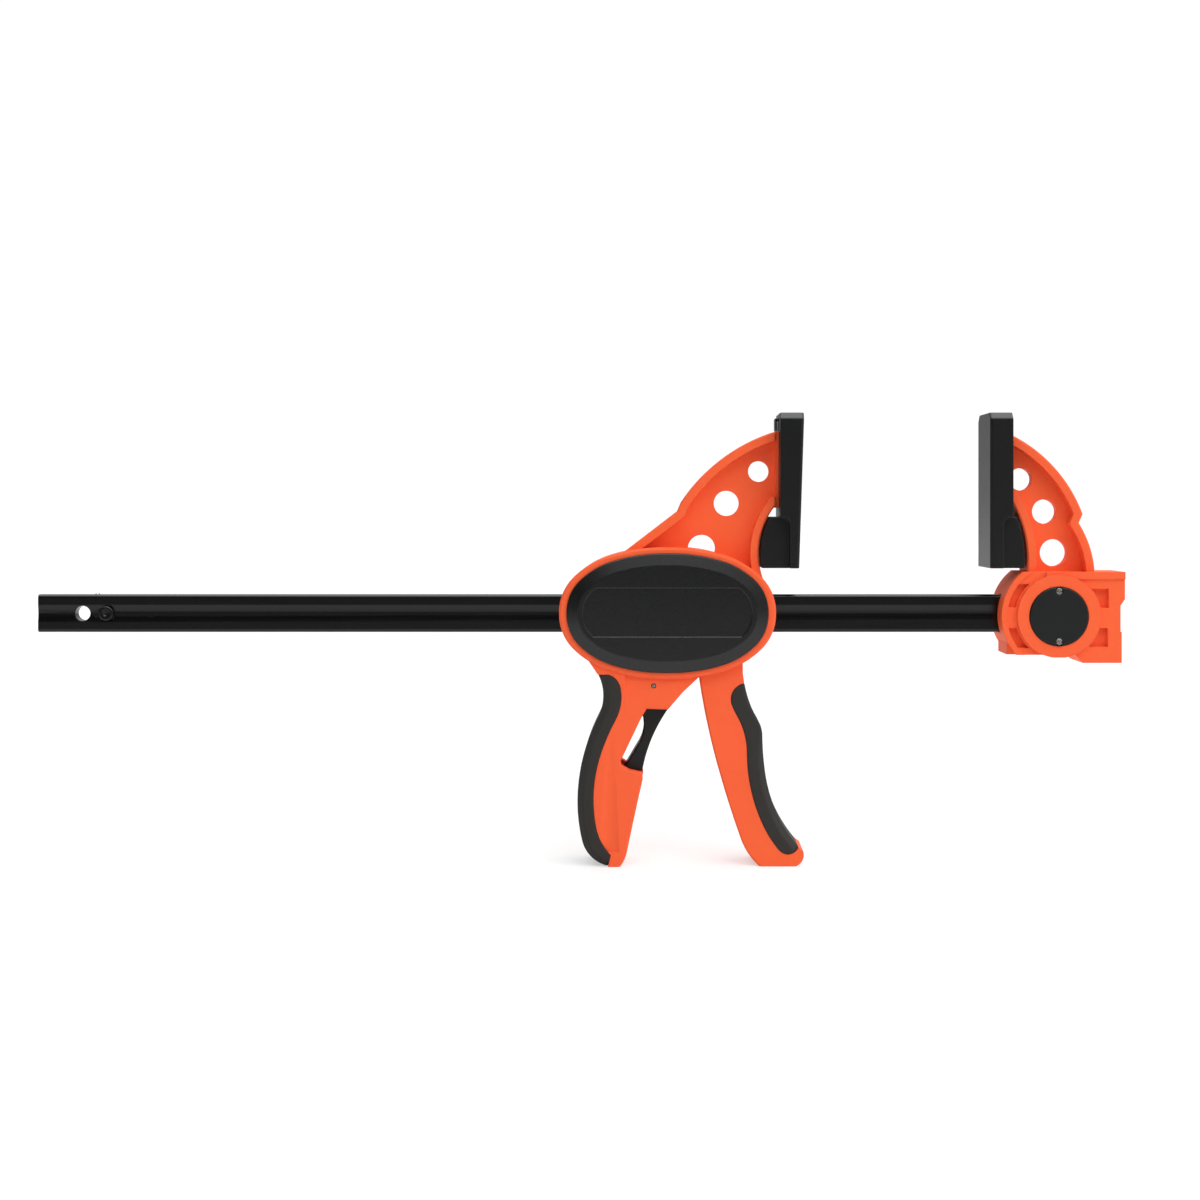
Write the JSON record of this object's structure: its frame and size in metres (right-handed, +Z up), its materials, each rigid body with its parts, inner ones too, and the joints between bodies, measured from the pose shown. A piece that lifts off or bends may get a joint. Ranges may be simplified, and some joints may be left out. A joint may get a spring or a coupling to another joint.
{
  "type": "one-handed trigger bar clamp",
  "caption": "One-handed bar clamp: a trigger head with a pumping lever slides along a flat steel bar, a far jaw locks on the bar's end with a push button.",
  "frame": {"origin": "middle of the bounding box, on the plane the handle and the lever stand on", "axes": "+X along the bar towards the fixed jaw, +Y across the clamp to its rear, +Z up"},
  "size_m": [0.5388, 0.0372, 0.2235],
  "materials": {
    "orange_plastic": "glass-filled nylon, satin with a fine grain",
    "black_plastic": "fine spark-eroded texture, matte",
    "grip_rubber": "soft overmould, matte",
    "pad_rubber": "firm moulded rubber, matte",
    "bar_steel": "black oxide with polished edges",
    "plate_steel": "hardened, ground",
    "pin_steel": "turned, lightly oiled",
    "spring_steel": "drawn wire, zinc plated"
  },
  "bodies": {
    "head": {"head_body": "orange_plastic", "handle_grip": "grip_rubber", "front_cover": "black_plastic", "rear_cover": "black_plastic", "movable_pad": "pad_rubber", "lever_pin": "pin_steel", "release_pin": "pin_steel", "drive_spring": "spring_steel", "brake_spring": "spring_steel"},
    "lever": {"squeeze_lever": "orange_plastic", "lever_grip": "grip_rubber"},
    "drive": {"drive_plate_1": "plate_steel", "drive_plate_2": "plate_steel", "drive_plate_3": "plate_steel"},
    "brake": {"brake_plate": "plate_steel"},
    "trigger": {"release_trigger": "black_plastic"},
    "slide_bar": {"bar": "bar_steel", "stop_pin": "bar_steel", "fixed_jaw": "orange_plastic", "fixed_pad": "pad_rubber", "lock_spring": "spring_steel"},
    "lock": {"lock_button": "black_plastic", "lock_guide_pin_upper": "pin_steel", "lock_guide_pin_lower": "pin_steel", "lock_carrier": "black_plastic", "lock_pin": "pin_steel"}
  },
  "joints": [
    {"name": "lever_squeeze", "type": "hinge", "parent": "head", "child": "lever", "pos_m": [0.068, 0, 0.142], "axis": [0, 1, 0], "range_deg": [0, 15.5], "stiffness_Nm_per_rad": 0.94, "springref_deg": -11.46},
    {"name": "drive_push", "type": "slide", "parent": "head", "child": "drive", "axis": [-1, 0, 0], "range_m": [0, 0.0066], "deforming": ["drive_spring"]},
    {"name": "trigger_pull", "type": "hinge", "parent": "head", "child": "trigger", "pos_m": [0.03735, 0, 0.0889], "axis": [0, 1, 0], "range_deg": [0, 6], "stiffness_Nm_per_rad": 1.5, "springref_deg": -5.73},
    {"name": "brake_release", "type": "hinge", "parent": "head", "child": "brake", "pos_m": [0.0282, 0, 0.1415], "axis": [0, 1, 0], "range_deg": [0, 0.8], "deforming": ["brake_spring"]},
    {"name": "bar_slide", "type": "slide", "parent": "head", "child": "slide_bar", "axis": [1, 0, 0], "range_m": [-0.0908, 0.2222]},
    {"name": "lock_press", "type": "slide", "parent": "slide_bar", "child": "lock", "axis": [0, 1, 0], "range_m": [0, 0.0046], "stiffness_N_per_m": 1500, "springref_m": -0.004, "deforming": ["lock_spring"]}
  ],
  "couplings": [
    {"joint": "drive_push", "follows": "lever_squeeze", "m_per_rad": 0.0242},
    {"joint": "brake_release", "follows": "trigger_pull", "ratio": 0.1306}
  ]
}
